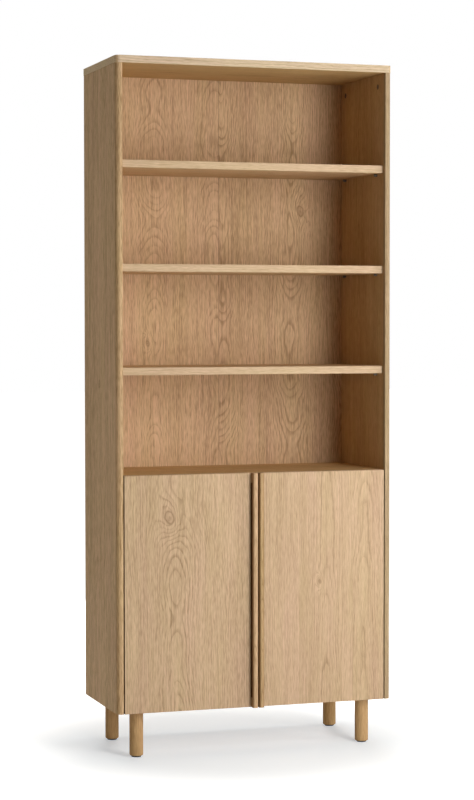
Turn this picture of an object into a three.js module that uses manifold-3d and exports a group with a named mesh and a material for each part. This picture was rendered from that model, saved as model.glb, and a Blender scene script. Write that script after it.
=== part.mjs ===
// Tall oak bookcase: four open bays above a cabinet with two inset doors, on four round legs.
// Millimetres, +Z up. The origin is on the floor, under the middle of the overall box.
// The doors face -Y, +X is to the right of someone who stands in front of them.

import * as THREE from 'three';
import { mergeVertices } from 'three/addons/utils/BufferGeometryUtils.js';
import Module from 'manifold-3d';

const wasm = await Module();
wasm.setup();

// Case: outer sizes and board thicknesses.
const caseWidth = 800;
const caseHeight = 1908;
const caseDepth = 346;
const legLift = 127;
const topThickness = 20;
const topOverhang = 0.8;
const sideThickness = 18;
const deckThickness = 18;
const backThickness = 5;
const rebateDepth = 8;
const rebateWidth = 9;
const cornerRadius = 13;
const edgeEase = 1.2;

// Heights inside the case: the cabinet up to the fixed shelf's top, then the loose shelves, which
// share the open height evenly but for a taller lowest bay and a lower top bay.
const cabinetHeight = 649;
const lowestBayExtra = 11;
const topBayShort = 2;
const shelfThickness = 21;
const shelfSetback = 17;
const shelfSideGap = 1;
const shelfBackGap = 2;
const cabinetShelfRise = 318;
const cabinetShelfSetback = 48;

// Doors and the solid strips on their meeting edges.
const doorThickness = 18;
const doorSideGap = 3;
const doorMeetingGap = 3;
const doorRearGap = 2;
const doorTopEase = 3;
const gripWidth = 15;
const gripProud = 20;
const gripNoseRadius = 6.5;
const grooveWidth = 10;
const grooveDepth = 6;
const grooveStop = 28;
const bumperRadius = 4;
const bumperInset = 24;

// Legs with their hanger bolts and glides.
const legRadius = 19;
const legSideInset = 68;
const legFrontInset = 52;
const legRearInset = 39;
const legEase = 2.5;
const glideRadius = 14;
const glideHeight = 4;
const glideEase = 1;
const spikeRadius = 1.6;
const spikeLength = 14;
const hangerRadius = 3.8;
const hangerInDeck = 12;

// Knock-down fittings: cam locks with their bolts, dowels, shelf pins and back screws.
// Fittings that repeat are made in one with the board that carries them, except at the top.
const camRadius = 7.5;
const camLength = 12.5;
const camSetIn = 34;
const camFrontInset = 57;
const camRearInset = 32;
const camSlotDepth = 9;
const boltThreadRadius = 3;
const boltThreadLength = 11;
const boltShankRadius = 2.4;
const boltHeadRadius = 3.3;
const boltHeadLength = 4;
const boltBoreRadius = 4;
const dowelRadius = 4;
const dowelInFace = 11;
const dowelShift = 32;
const pinRadius = 3.5;
const pinReach = 9;
const pinFrontInset = 62;
const pinRearInset = 44;
const backScrewRadius = 1.6;
const backScrewHeadRadius = 3.6;
const backScrewHeadHeight = 1.6;
const backScrewEnd = 260;

// Concealed hinges, in plan: x from the side panel's inner face, y back from the door's face.
// The cup turns on the link at the cup pivot, the link turns on the arm at the arm pivot.
const hingeEndDistance = 95;
const cupRadius = 17.2;
const cupDepth = 11.5;
const cupWall = 0.9;
const cupFloor = 1.1;
const cupNotchDepth = 4;
const cupFromDoorEdge = 22.5;
const cupPivotX = 13.3;
const cupPivotY = 13.4;
const armPivotX = 34;
const armPivotY = 30.6;
const linkElbowX = 22;
const linkElbowY = 9.3;
const linkThickness = 2;
const linkWidth = 13;
const linkEyeRadius = 2.4;
const pivotRadius = 1.25;
const pivotRoom = 0.15;
const cupPivotLength = 20.2;
const lugThickness = 3.2;
const lugHalfLength = 3.2;
const lugRise = 3.1;
const flangeThickness = 1.5;
const flangeBack = 3.5;
const flangeFront = 20.5;
const flangeHalfWidth = 30;
const flangeCorner = 7;
const cupScrewOffset = 9.5;
const cupScrewSpread = 24;
const cupScrewRadius = 1.7;
const cupScrewLength = 13;
const cupScrewHeadRadius = 3.4;
const cupScrewHeadHeight = 1.8;
const armWall = 1.2;
const armCheekRoom = 1.6;
const armNoseRadius = 3.8;
const armWebRoom = 2.9;
const armDepth = 7.9;
const armLowerX = 9.6;
const armFrontRun = 3.4;
const armCrankEnd = 55;
const armRearY = 92;
const plateThickness = 2.2;
const plateWingHalfLength = 22;
const plateWingHalfWidth = 7;
const plateScrewY = 64;
const plateScrewSpread = 16;
const plateScrewRadius = 3;
const plateScrewLength = 11;
const plateScrewHeadRadius = 4.6;
const plateScrewHeadHeight = 1.8;
const plateBlockRoom = 0.5;
const plateFrontY = 57;
const armScrewFrontY = 70;
const armScrewRearY = 84;
const armScrewRadius = 2;
const armScrewLength = 9;
const armScrewHeadRadius = 3.8;
const armScrewHeadHeight = 1.6;

// Fits: pieces that touch, fittings in their holes, how deep a fused fitting is rooted,
// and how far a cutter runs past a face.
const seam = 0.3;
const rooting = 1.5;
const holeRoom = 0.25;
const overrun = 2;
const weld = 0.0005;

// Facet counts.
const hiddenFacets = 6;
const smallFacets = 8;
const holeFacets = 12;
const roundFacets = 16;
const filletFacets = 7;
const easeFacets = 2;

// Places that everything else is measured from.
const frontY = (gripProud - caseDepth) / 2;
const rearY = frontY + caseDepth;
const outerX = caseWidth / 2 - topOverhang;
const innerX = outerX - sideThickness;
const topUnder = caseHeight - topThickness;
const deckFront = frontY + doorThickness + doorRearGap;
const backFace = rearY - rebateDepth + seam;
const deckTop = legLift + cabinetHeight;

const finish = (name, color, roughness, metalness) =>
  new THREE.MeshStandardMaterial({ name, color, roughness, metalness });
const materials = {
  veneer: finish('oak_veneer', 0xcba77c, 0.62, 0),
  backVeneer: finish('oak_back_veneer', 0xb8916a, 0.62, 0),
  shelfVeneer: finish('oak_shelf_veneer', 0xd0ab7c, 0.62, 0),
  solidOak: finish('solid_oak', 0xcaa36f, 0.62, 0),
  steel: finish('nickel_steel', 0xb9bbbd, 0.32, 1),
  zinc: finish('zinc_fitting', 0x9a9b9c, 0.42, 1),
  dark: finish('glide_plastic', 0x2a2420, 0.7, 0),
  clear: finish('bumper_plastic', 0xe6e4de, 0.35, 0),
};

// Closed solids and their joins and cuts.
function toSolid(geometry) {
  const bare = geometry.clone();
  bare.deleteAttribute('normal');
  bare.deleteAttribute('uv');
  const merged = mergeVertices(bare, weld);
  const index = merged.index.array;
  const kept = [];
  for (let i = 0; i < index.length; i += 3) {
    const [a, b, c] = [index[i], index[i + 1], index[i + 2]];
    if (a !== b && b !== c && c !== a) kept.push(a, b, c);
  }
  const triVerts = new Uint32Array(kept);
  const vertProperties = merged.attributes.position.array;
  return new wasm.Manifold(new wasm.Mesh({ numProp: 3, vertProperties, triVerts }));
}

function toGeometry(solid) {
  const mesh = solid.getMesh();
  const places = new Float32Array(mesh.vertProperties);
  const geometry = new THREE.BufferGeometry();
  geometry.setAttribute('position', new THREE.BufferAttribute(places, mesh.numProp));
  geometry.setIndex(new THREE.BufferAttribute(new Uint32Array(mesh.triVerts), 1));
  return geometry;
}

const cut = (body, tools) =>
  toGeometry(tools.reduce((left, tool) => left.subtract(toSolid(tool)), toSolid(body)));
const join = ([first, ...rest]) =>
  toGeometry(rest.reduce((sum, part) => sum.add(toSolid(part)), toSolid(first)));
const common = (a, b) => toGeometry(toSolid(a).intersect(toSolid(b)));

// A block between two corners.
function block([x0, y0, z0], [x1, y1, z1]) {
  const box = new THREE.BoxGeometry(Math.abs(x1 - x0), Math.abs(y1 - y0), Math.abs(z1 - z0));
  return box.translate((x0 + x1) / 2, (y0 + y1) / 2, (z0 + z1) / 2);
}

// A flat outline in plan, raised from z0 to z1.
function raise(shape, z0, z1) {
  const settings = { depth: z1 - z0, bevelEnabled: false, curveSegments: filletFacets };
  return new THREE.ExtrudeGeometry(shape, settings).translate(0, 0, z0);
}

// Turns a piece that was made along +Z so that it points along the given direction.
function aim(geometry, origin, direction) {
  const turn = new THREE.Quaternion().setFromUnitVectors(
    new THREE.Vector3(0, 0, 1), new THREE.Vector3(...direction).normalize());
  return geometry.clone().applyQuaternion(turn).translate(...origin);
}

// A turned piece from [radius, height] pairs along +Z, outline anticlockwise, closing on the axis.
function turned(profile, facets) {
  const points = profile.map(([r, z]) => new THREE.Vector2(r, z));
  return new THREE.LatheGeometry(points, facets).rotateX(Math.PI / 2);
}

// A plain round rod or a cutter for a round hole, from a point along a direction.
function rod(radius, length, origin, direction, facets = holeFacets) {
  return aim(turned([[0, 0], [radius, 0], [radius, length], [0, length]], facets), origin, direction);
}

// A hole cutter starts outside the face that it opens.
function bore(radius, depth, origin, direction, facets = holeFacets) {
  const back = origin.map((value, i) => value - direction[i] * overrun);
  return rod(radius + holeRoom, depth + overrun, back, direction, facets);
}

// A rectangle with rounded corners. Radii run anticlockwise from the corner at x0, y0, and a
// large round gets more facets than an eased edge.
function roundedRect(x0, y0, x1, y1, radii) {
  const corners = [[x0, y0, 1, 1], [x1, y0, -1, 1], [x1, y1, -1, -1], [x0, y1, 1, -1]];
  const points = [];
  corners.forEach(([x, y, sx, sy], i) => {
    const radius = radii[i];
    const facets = radius > doorTopEase ? filletFacets : easeFacets;
    const steps = radius ? facets : 0;
    for (let k = 0; k <= steps; k += 1) {
      const angle = Math.PI * (1 + i / 2) + (steps ? (Math.PI / 2) * (k / steps) : 0);
      points.push(new THREE.Vector2(
        x + sx * radius + radius * Math.cos(angle), y + sy * radius + radius * Math.sin(angle)));
    }
  });
  return new THREE.Shape(points);
}

const bookcase = new THREE.Group();
function add(name, geometry, material) {
  const finished = geometry.index ? geometry.toNonIndexed() : geometry;
  finished.computeVertexNormals();
  const mesh = new THREE.Mesh(finished, material);
  mesh.name = name;
  bookcase.add(mesh);
  return mesh;
}

// Rows of fittings, front to back, shared by every board that they join.
const camRows = [frontY + camFrontInset, backFace - camRearInset];
const dowelRows = [camRows[0] + dowelShift, camRows[1] - dowelShift];
const pinRows = [frontY + pinFrontInset, rearY - pinRearInset];
const deckLevels = [legLift + deckThickness / 2, deckTop - deckThickness / 2];
const openShelves = ['lower_shelf', 'middle_shelf', 'upper_shelf'];
const openHeight = topUnder - deckTop;
const shelfPitch = (openHeight + shelfThickness + topBayShort - lowestBayExtra) / (openShelves.length + 1);
const shelfTops = {};
openShelves.forEach((name, i) => {
  shelfTops[name] = deckTop + lowestBayExtra + shelfPitch * (i + 1);
});
shelfTops.cabinet_shelf = legLift + cabinetShelfRise;
const hingeLevels = [legLift + hingeEndDistance, deckTop - hingeEndDistance];
const backScrewLevels = [legLift + backScrewEnd, topUnder - backScrewEnd];
const sideScrewX = innerX + rebateWidth / 2;
const topScrewZ = topUnder + rebateWidth / 2;
const backScrewX = innerX / 2;
const pinLevel = (shelfTop) => shelfTop - shelfThickness - seam - pinRadius;
const sideMiddleX = outerX - sideThickness / 2;
const BACK = [0, 1, 0];
const FORWARD = [0, -1, 0];
const UP = [0, 0, 1];
const DOWN = [0, 0, -1];

// Cam bolt along +Z from the joint face: thread behind it, shank across, head at the lock.
const boltReach = camSetIn + boltHeadLength / 2;
const boltBody = turned([
  [0, -boltThreadLength + seam], [boltThreadRadius, -boltThreadLength + seam],
  [boltThreadRadius, -seam], [boltShankRadius, -seam],
  [boltShankRadius, boltReach - boltHeadLength], [boltHeadRadius, boltReach - boltHeadLength],
  [boltHeadRadius, boltReach], [0, boltReach],
], hiddenFacets);

// Back screw along +Z, from behind the back panel into the board that holds it.
const backScrew = turned([
  [0, -backScrewHeadHeight - seam], [backScrewHeadRadius / 2, -backScrewHeadHeight - seam],
  [backScrewHeadRadius, -seam - seam], [backScrewHeadRadius, -seam], [backScrewRadius, -seam],
  [backScrewRadius, backThickness + seam + rooting], [0, backThickness + seam + rooting],
], hiddenFacets);
const backScrewAt = (x, z) => aim(backScrew, [x, backFace + backThickness, z], FORWARD);

// Side panels: a big round on the outer front edge, a rebate for the back, drilled for the
// fittings, with the shelf pins, the dowels for the top and the back screws standing out.
function sidePanel(side) {
  const inward = [-side, 0, 0];
  const outward = [side, 0, 0];
  const [x0, x1] = side > 0 ? [innerX, outerX] : [-outerX, -innerX];
  const radii = side > 0
    ? [edgeEase, cornerRadius, edgeEase, 0]
    : [cornerRadius, edgeEase, 0, edgeEase];
  const board = raise(roundedRect(x0, frontY, x1, rearY, radii), legLift, topUnder - seam);
  const face = side * innerX;
  const middle = side * sideMiddleX;
  const topEdge = topUnder - seam;
  const holes = [block(
    [side * (innerX - overrun), rearY - rebateDepth, legLift - overrun],
    [side * (innerX + rebateWidth), rearY + overrun, topUnder + overrun])];
  const fittings = [];
  for (const y of camRows) {
    holes.push(bore(camRadius, camLength, [face, y, topUnder - camSetIn], outward));
    holes.push(bore(boltBoreRadius, camSetIn, [middle, y, topEdge], DOWN, hiddenFacets));
    for (const z of deckLevels)
      holes.push(bore(boltThreadRadius, boltThreadLength, [face, y, z], outward, hiddenFacets));
  }
  for (const y of dowelRows) {
    fittings.push(rod(dowelRadius, rooting + dowelInFace, [middle, y, topEdge - rooting], UP, hiddenFacets));
    for (const z of deckLevels) holes.push(bore(dowelRadius, dowelInFace, [face, y, z], outward, hiddenFacets));
  }
  const plateY = frontY + plateScrewY;
  for (const level of hingeLevels)
    for (const z of [level - plateScrewSpread, level + plateScrewSpread])
      holes.push(bore(plateScrewRadius, plateScrewLength, [face, plateY, z], outward, smallFacets));
  for (const z of backScrewLevels) fittings.push(backScrewAt(side * sideScrewX, z));
  const pinRoot = face + side * rooting;
  for (const shelfTop of Object.values(shelfTops))
    for (const y of pinRows)
      fittings.push(rod(pinRadius, rooting + pinReach, [pinRoot, y, pinLevel(shelfTop)], inward, smallFacets));
  return join([cut(board, holes), ...fittings]);
}
add('left_side_panel', sidePanel(-1), materials.veneer);
add('right_side_panel', sidePanel(1), materials.veneer);

// Top panel: lies over both sides, its front corners rounded to follow theirs.
const topRadius = cornerRadius + topOverhang;
const topRadii = [topRadius, topRadius, edgeEase, edgeEase];
const topBoard = raise(
  roundedRect(-caseWidth / 2, frontY - topOverhang, caseWidth / 2, rearY, topRadii), topUnder, caseHeight);
const topTools = [block(
  [-innerX - rebateWidth, rearY - rebateDepth, topUnder - overrun],
  [innerX + rebateWidth, rearY + overrun, topUnder + rebateWidth])];
for (const side of [-1, 1]) {
  const x = side * sideMiddleX;
  for (const y of camRows)
    topTools.push(bore(boltThreadRadius, boltThreadLength, [x, y, topUnder], UP, hiddenFacets));
  for (const y of dowelRows)
    topTools.push(bore(dowelRadius, dowelInFace, [x, y, topUnder], UP, hiddenFacets));
}
const topScrews = [-1, 1].map((side) => backScrewAt(side * backScrewX, topScrewZ));
add('top_panel', join([cut(topBoard, topTools), ...topScrews]), materials.veneer);

// Bottom panel and fixed shelf: held between the sides by cams from below, with dowels. Their
// cam bolts, dowels and back screws are in one with them.
function deck(under, extra) {
  const deckEnd = innerX - seam;
  const board = block([-deckEnd, deckFront, under], [deckEnd, backFace - seam, under + deckThickness]);
  const middle = under + deckThickness / 2;
  const bores = [...extra];
  const fittings = [];
  for (const side of [-1, 1]) {
    const end = side * deckEnd;
    const dowelRoot = end - side * rooting;
    const inward = [-side, 0, 0];
    const outward = [side, 0, 0];
    for (const y of camRows) {
      const camX = side * (innerX - camSetIn);
      bores.push(bore(camRadius, camLength, [camX, y, under], UP, smallFacets));
      fittings.push(rod(camRadius, camLength + rooting - seam, [camX, y, under + seam], UP, smallFacets));
      bores.push(bore(boltBoreRadius, camSetIn, [end, y, middle], inward, hiddenFacets));
      fittings.push(aim(boltBody, [side * innerX, y, middle], inward));
    }
    for (const y of dowelRows)
      fittings.push(rod(dowelRadius, rooting + dowelInFace - seam, [dowelRoot, y, middle], outward, hiddenFacets));
    fittings.push(backScrewAt(side * backScrewX, middle));
  }
  return join([cut(board, bores), ...fittings]);
}
const legPlaces = {
  front_left_leg: [-caseWidth / 2 + legSideInset, frontY + legFrontInset],
  front_right_leg: [caseWidth / 2 - legSideInset, frontY + legFrontInset],
  rear_left_leg: [-caseWidth / 2 + legSideInset, rearY - legRearInset],
  rear_right_leg: [caseWidth / 2 - legSideInset, rearY - legRearInset],
};
const legBores = Object.values(legPlaces)
  .map(([x, y]) => bore(hangerRadius, hangerInDeck, [x, y, legLift], UP));
add('bottom_panel', deck(legLift, legBores), materials.veneer);
add('fixed_shelf', deck(deckTop - deckThickness, []), materials.veneer);

// Back: two thin panels that meet on the middle line, in a rebate all round, each drilled for
// its screws into the side, the decks and the top.
function backPanel(side) {
  const outer = side * (innerX + rebateWidth - seam);
  const middle = side * seam;
  const backTop = topUnder + rebateWidth - seam;
  const board = block([outer, backFace, legLift], [middle, backFace + backThickness, backTop]);
  const places = backScrewLevels.map((z) => [side * sideScrewX, z]);
  for (const z of [...deckLevels, topScrewZ]) places.push([side * backScrewX, z]);
  return cut(board, places.map(([x, z]) =>
    bore(backScrewRadius, backThickness + overrun, [x, backFace + backThickness, z], FORWARD, hiddenFacets)));
}
add('left_back_panel', backPanel(-1), materials.backVeneer);
add('right_back_panel', backPanel(1), materials.backVeneer);

// Loose shelves, each on four pins.
for (const [name, shelfTop] of Object.entries(shelfTops)) {
  const setback = name === 'cabinet_shelf' ? cabinetShelfSetback : shelfSetback;
  const profile = roundedRect(
    frontY + setback, shelfTop - shelfThickness, backFace - shelfBackGap, shelfTop, [edgeEase, 0, 0, edgeEase]);
  const length = 2 * (innerX - shelfSideGap);
  const board = raise(profile, 0, length);
  // The outline is in depth and height: stand it up and run it along X.
  const stand = new THREE.Matrix4().makeBasis(
    new THREE.Vector3(0, 1, 0), new THREE.Vector3(0, 0, 1), new THREE.Vector3(1, 0, 0));
  board.applyMatrix4(stand).translate(-length / 2, 0, 0);
  add(name, toGeometry(toSolid(board)), materials.shelfVeneer);
}

// Cam locks under the top: slotted discs in the sides that pull on the bolts from the top panel.
const camDisc = rod(camRadius, camLength - seam, [0, 0, 0], UP);
for (const [sideWord, side] of [['left', -1], ['right', 1]])
  for (const [rowWord, y] of [['front', camRows[0]], ['rear', camRows[1]]]) {
    const camZ = topUnder - camSetIn;
    const disc = aim(camDisc, [side * (innerX + seam), y, camZ], [side, 0, 0]);
    const slotStart = [side * sideMiddleX, y, camZ - camSlotDepth / 2];
    const slot = rod(boltHeadRadius + seam, camSlotDepth + camRadius, slotStart, UP);
    add(`${rowWord}_${sideWord}_cam_lock`, cut(disc, [slot]), materials.zinc);
    add(`${rowWord}_${sideWord}_cam_bolt`, toGeometry(toSolid(
      aim(boltBody, [side * sideMiddleX, y, topUnder], DOWN))), materials.zinc);
  }

// Legs: plain turned posts, each with its hanger bolt in the top and a glide under it.
const legFoot = glideHeight + seam;
const legTop = legLift - seam;
const spikeTop = glideHeight + spikeLength - seam;
for (const [name, [x, y]] of Object.entries(legPlaces)) {
  const foot = [];
  for (let i = 0; i <= 3; i += 1) {
    const a = (Math.PI / 2) * (i / 3);
    foot.push([legRadius - legEase + legEase * Math.sin(a), legFoot + legEase - legEase * Math.cos(a)]);
  }
  const post = turned([
    [0, legFoot], ...foot, [legRadius, legTop], [hangerRadius, legTop],
    [hangerRadius, legTop + hangerInDeck], [0, legTop + hangerInDeck],
  ], roundFacets).translate(x, y, 0);
  add(name, cut(post, [bore(spikeRadius, spikeLength, [x, y, legFoot], UP, smallFacets)]), materials.solidOak);
  add(`${name}_glide`, turned([
    [0, 0], [glideRadius - glideEase, 0], [glideRadius, glideEase], [glideRadius, glideHeight],
    [spikeRadius, glideHeight], [spikeRadius, spikeTop], [0, spikeTop],
  ], holeFacets).translate(x, y, 0), materials.dark);
}

// Doors. The panel stops at the solid strip that carries the finger grip.
const doorRear = frontY + doorThickness;
const gripInner = doorMeetingGap / 2;
const gripOuter = gripInner + gripWidth;
const doorOuter = innerX - doorSideGap;
const cupX = doorSideGap + cupFromDoorEdge;
const flangeSeat = doorThickness + seam;
const flangeTop = flangeSeat + flangeThickness;

// A point of the hinge's plan on one side of the case.
const inPlan = (side, x, y) => [side * (innerX - x), frontY + y];

function doorPanel(side) {
  const profile = roundedRect(frontY, legLift, doorRear, deckTop, [edgeEase, 0, 0, doorTopEase]);
  const length = doorOuter - gripOuter - seam;
  const board = raise(profile, 0, length);
  const stand = new THREE.Matrix4().makeBasis(
    new THREE.Vector3(0, 1, 0), new THREE.Vector3(0, 0, 1), new THREE.Vector3(1, 0, 0));
  board.applyMatrix4(stand).translate(side > 0 ? gripOuter + seam : -doorOuter, 0, 0);
  const tools = [];
  for (const z of hingeLevels) {
    const [x, y] = inPlan(side, cupX, doorThickness);
    tools.push(bore(cupRadius, cupDepth + seam, [x, y, z], FORWARD, roundFacets));
    const [screwX] = inPlan(side, cupX + cupScrewOffset, doorThickness);
    for (const spread of [-cupScrewSpread, cupScrewSpread])
      tools.push(bore(cupScrewRadius, cupScrewLength, [screwX, y, z + spread], FORWARD, smallFacets));
  }
  return cut(board, tools);
}

// Grip strip: full door height, stands proud with a round nose, finger groove behind the nose.
function gripStrip(side) {
  const [x0, x1] = side > 0 ? [gripInner, gripOuter] : [-gripOuter, -gripInner];
  const nose = frontY - gripProud;
  const strip = raise(
    roundedRect(x0, nose, x1, doorRear, [gripNoseRadius, gripNoseRadius, 0, 0]), legLift, deckTop);
  const low = legLift + grooveStop;
  const high = deckTop - grooveStop;
  // The cutter's outline is in width and height, its ends swept round as a router leaves them.
  const outline = new THREE.Shape();
  outline.moveTo(-overrun, low);
  outline.lineTo(0, low);
  outline.absarc(0, low + grooveDepth, grooveDepth, -Math.PI / 2, 0);
  outline.lineTo(grooveDepth, high - grooveDepth);
  outline.absarc(0, high - grooveDepth, grooveDepth, 0, Math.PI / 2);
  outline.lineTo(-overrun, high);
  const cutter = raise(outline, 0, grooveWidth);
  const stand = new THREE.Matrix4().makeBasis(
    new THREE.Vector3(1, 0, 0), new THREE.Vector3(0, 0, 1), new THREE.Vector3(0, -1, 0));
  cutter.applyMatrix4(stand);
  const turnRound = side > 0 ? new THREE.Matrix4().makeRotationZ(Math.PI) : new THREE.Matrix4();
  cutter.applyMatrix4(turnRound).translate(side * gripOuter, side > 0 ? frontY - grooveWidth : frontY, 0);
  return cut(strip, [cutter]);
}

// Hinge cup: a shell with lugs for its pivot, and a flange with two screws on the far side.
function hingeCup(side, level) {
  const [x, y] = inPlan(side, cupX, doorThickness);
  const inner = cupRadius - cupWall;
  const shell = aim(turned([
    [0, -cupDepth], [cupRadius, -cupDepth], [cupRadius, flangeTop - doorThickness],
    [inner, flangeTop - doorThickness], [inner, cupFloor - cupDepth], [0, cupFloor - cupDepth],
  ], roundFacets), [x, y, level], BACK);
  const [cutX] = inPlan(side, cupX - flangeBack, 0);
  const [farX] = inPlan(side, cupX - cupRadius - overrun, 0);
  const reach = cupRadius + overrun;
  const open = block([cutX, y, level - reach], [farX, y + reach, level + reach]);
  // The rim is notched where the link lies when the door stands open.
  const [notchX] = inPlan(side, cupPivotX, 0);
  const notchHalf = linkWidth / 2 + seam;
  const notch = block([farX, y - cupNotchDepth, level - notchHalf], [notchX, y + reach, level + notchHalf]);
  const [flangeX0] = inPlan(side, cupX - flangeBack, 0);
  const [flangeX1] = inPlan(side, cupX + flangeFront, 0);
  const [flangeLeft, flangeRight] = [Math.min(flangeX0, flangeX1), Math.max(flangeX0, flangeX1)];
  const flangeRadii = side > 0 ? [flangeCorner, 0, 0, flangeCorner] : [0, flangeCorner, flangeCorner, 0];
  const plate = raise(roundedRect(
    flangeLeft, level - flangeHalfWidth, flangeRight, level + flangeHalfWidth, flangeRadii), 0, flangeThickness);
  const stand = new THREE.Matrix4().makeBasis(
    new THREE.Vector3(1, 0, 0), new THREE.Vector3(0, 0, 1), new THREE.Vector3(0, -1, 0));
  plate.applyMatrix4(stand).translate(0, frontY + flangeTop, 0);
  const mouth = rod(inner, cupDepth + reach, [x, y - cupDepth + cupFloor, level], BACK, roundFacets);
  const screwX = inPlan(side, cupX + cupScrewOffset, 0)[0];
  const screws = [-cupScrewSpread, cupScrewSpread].map((spread) => aim(
    screw(cupScrewRadius, cupScrewLength + flangeThickness, cupScrewHeadRadius, cupScrewHeadHeight),
    [screwX, frontY + flangeTop - seam, level + spread], FORWARD));
  const flange = join([cut(plate, [mouth]), ...screws]);
  const [pivotX, pivotY] = inPlan(side, cupPivotX, cupPivotY);
  const bodyCylinder = rod(inner + cupWall / 2, cupDepth, [x, y - cupDepth, level], BACK, roundFacets);
  const lugStart = linkWidth / 2 + seam + seam;
  const lugs = [-1, 1].map((end) => common(block(
    [pivotX - lugHalfLength, y - cupDepth, level + end * lugStart],
    [pivotX + lugHalfLength, pivotY + lugRise, level + end * (lugStart + lugThickness)]), bodyCylinder));
  const pivotHole = rod(pivotRadius + pivotRoom, cupPivotLength + seam,
    [pivotX, pivotY, level - (cupPivotLength + seam) / 2], UP, smallFacets);
  return cut(join([cut(shell, [open, notch]), flange, ...lugs]), [pivotHole]);
}

// Link: a bent strap between the two pivots, an eye at each end.
function hingeLink(side, level) {
  const low = level - linkWidth / 2;
  const stations = [[cupPivotX, cupPivotY], [linkElbowX, linkElbowY], [armPivotX, armPivotY]]
    .map(([x, y]) => new THREE.Vector2(...inPlan(side, x, y)));
  const parts = [];
  for (let i = 0; i < 2; i += 1) {
    const along = stations[i + 1].clone().sub(stations[i]);
    const strap = new THREE.BoxGeometry(along.length(), linkThickness, linkWidth);
    strap.rotateZ(along.angle());
    const middle = stations[i].clone().add(stations[i + 1]).divideScalar(2);
    parts.push(strap.translate(middle.x, middle.y, level));
  }
  parts.push(rod(linkThickness / 2, linkWidth, [stations[1].x, stations[1].y, low], UP, smallFacets));
  for (const eye of [stations[0], stations[2]])
    parts.push(rod(linkEyeRadius, linkWidth, [eye.x, eye.y, low], UP));
  const holes = [stations[0], stations[2]].map((eye) =>
    rod(pivotRadius + pivotRoom, linkWidth + overrun, [eye.x, eye.y, low - overrun / 2], UP, smallFacets));
  return cut(join(parts), holes);
}

// Arm: a cranked channel from the mounting plate forward to the arm pivot, open toward the side.
const armHalfWidth = linkWidth / 2 + armCheekRoom + armWall;
const armUpperX = armLowerX + armDepth;
const armFrontUpperX = armPivotX + armWebRoom + armWall;
const armFrontLowerX = armPivotX - armNoseRadius;
const armWebStart = armPivotY - armFrontRun;
const armCrankStart = armPivotY + armFrontRun;
function hingeArm(side, level) {
  const outline = (inset, front, rear) => {
    const points = [
      [armFrontLowerX, armPivotY], [armFrontLowerX, armCrankStart], [armLowerX, armCrankEnd], [armLowerX, rear],
      [armUpperX - inset, rear], [armUpperX - inset, armCrankEnd], [armFrontUpperX - inset, armCrankStart],
      [armFrontUpperX - inset, front], [armPivotX, front],
    ];
    return new THREE.Shape(points.map(([x, y]) => new THREE.Vector2(...inPlan(side, x, y))));
  };
  const body = raise(outline(0, armWebStart, armRearY), level - armHalfWidth, level + armHalfWidth);
  const slotLow = level - armHalfWidth + armWall;
  const slotHigh = level + armHalfWidth - armWall;
  // The channel's hollow: the same outline less the web, opened toward the side, the front and the rear.
  const hollow = new THREE.Shape([
    [armFrontUpperX - armWall, armWebStart - armNoseRadius], [armFrontUpperX - armWall, armCrankStart],
    [armUpperX - armWall, armCrankEnd], [armUpperX - armWall, armRearY + overrun],
    [armLowerX - overrun, armRearY + overrun], [armLowerX - overrun, armWebStart - armNoseRadius],
  ].map(([x, y]) => new THREE.Vector2(...inPlan(side, x, y))));
  const [pivotX, pivotY] = inPlan(side, armPivotX, armPivotY);
  const low = level - armHalfWidth;
  const nose = rod(armNoseRadius, 2 * armHalfWidth, [pivotX, pivotY, low], UP);
  const pivotHole = rod(pivotRadius + pivotRoom, 2 * armHalfWidth + overrun,
    [pivotX, pivotY, low - overrun / 2], UP, smallFacets);
  const channel = cut(join([body, nose]), [raise(hollow, slotLow, slotHigh), pivotHole]);
  const armScrew = screw(armScrewRadius, armScrewLength, armScrewHeadRadius, armScrewHeadHeight);
  const screws = [armScrewFrontY, armScrewRearY].map((at) => {
    const [x, y] = inPlan(side, armUpperX - seam, at);
    return aim(armScrew, [x, y, level], [side, 0, 0]);
  });
  return join([channel, ...screws]);
}

// Mounting plate: wings with two screws, and the block that the arm is clamped over.
const blockHalfWidth = linkWidth / 2 + armCheekRoom - plateBlockRoom;
const blockTopX = armUpperX - armWall - seam;
function mountingPlate(side, level) {
  const [x0] = inPlan(side, seam, 0);
  const [x1] = inPlan(side, seam + plateThickness, 0);
  const [x2] = inPlan(side, blockTopX, 0);
  const y = (value) => frontY + value;
  const wing = block(
    [x0, y(plateScrewY - plateWingHalfWidth), level - plateWingHalfLength],
    [x1, y(plateScrewY + plateWingHalfWidth), level + plateWingHalfLength]);
  const rail = block(
    [x0, y(plateFrontY), level - blockHalfWidth], [x2, y(armRearY - plateBlockRoom), level + blockHalfWidth]);
  const shaft = plateScrewLength + plateThickness - seam;
  const screws = [-plateScrewSpread, plateScrewSpread].map((spread) => aim(
    screw(plateScrewRadius, shaft, plateScrewHeadRadius, plateScrewHeadHeight),
    [inPlan(side, plateThickness, 0)[0], y(plateScrewY), level + spread], [side, 0, 0]));
  const holes = [armScrewFrontY, armScrewRearY].map((at) =>
    bore(armScrewRadius, armScrewLength, [x2, y(at), level], [side, 0, 0], smallFacets));
  return cut(join([wing, rail, ...screws]), holes);
}

// Flat-headed screw along +Z: the head's underside is at zero, the shank runs up from it.
function screw(radius, length, headRadius, headHeight) {
  return turned([
    [0, -headHeight], [headRadius / 2, -headHeight], [headRadius, -headHeight / 2],
    [headRadius, 0], [radius, 0], [radius, length], [0, length],
  ], smallFacets);
}

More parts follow.
